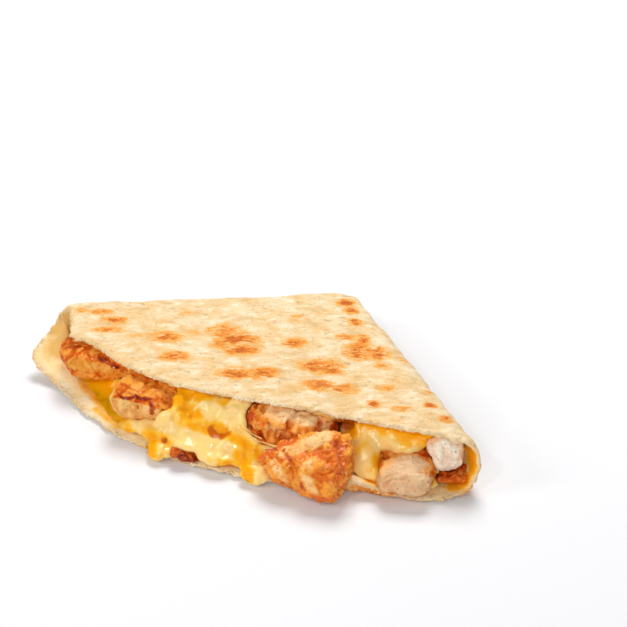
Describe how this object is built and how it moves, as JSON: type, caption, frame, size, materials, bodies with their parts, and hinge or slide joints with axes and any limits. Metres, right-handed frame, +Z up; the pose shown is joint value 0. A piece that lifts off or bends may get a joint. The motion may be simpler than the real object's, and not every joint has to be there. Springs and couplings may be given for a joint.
{
  "type": "quesadilla wedge",
  "caption": "Folded tortilla wedge with its curved side open, filled with melted cheese and chunks of grilled chicken.",
  "frame": {"origin": "on the table, under the middle of the wedge's bounding box", "axes": "+Z up; -Y towards the open curved side; +X towards the folded side; the corner where both closed sides meet points to +Y"},
  "size_m": [0.186, 0.1187, 0.0236],
  "materials": {
    "tortilla": "matte toasted flour tortilla",
    "cheese": "glossy melted cheese",
    "chicken": "grilled, lightly glazed chicken",
    "charred_chicken": "dark browned chicken with a glaze"
  },
  "bodies": {
    "root": {"tortilla": "tortilla", "cheese": "cheese", "chicken_back_left": "chicken", "chicken_left": "chicken", "chicken_middle": "chicken", "chicken_over_rim": "chicken", "chicken_right": "chicken", "chicken_by_fold": "chicken", "chicken_under_fold": "charred_chicken", "chicken_scrap": "charred_chicken"}
  },
  "joints": []
}
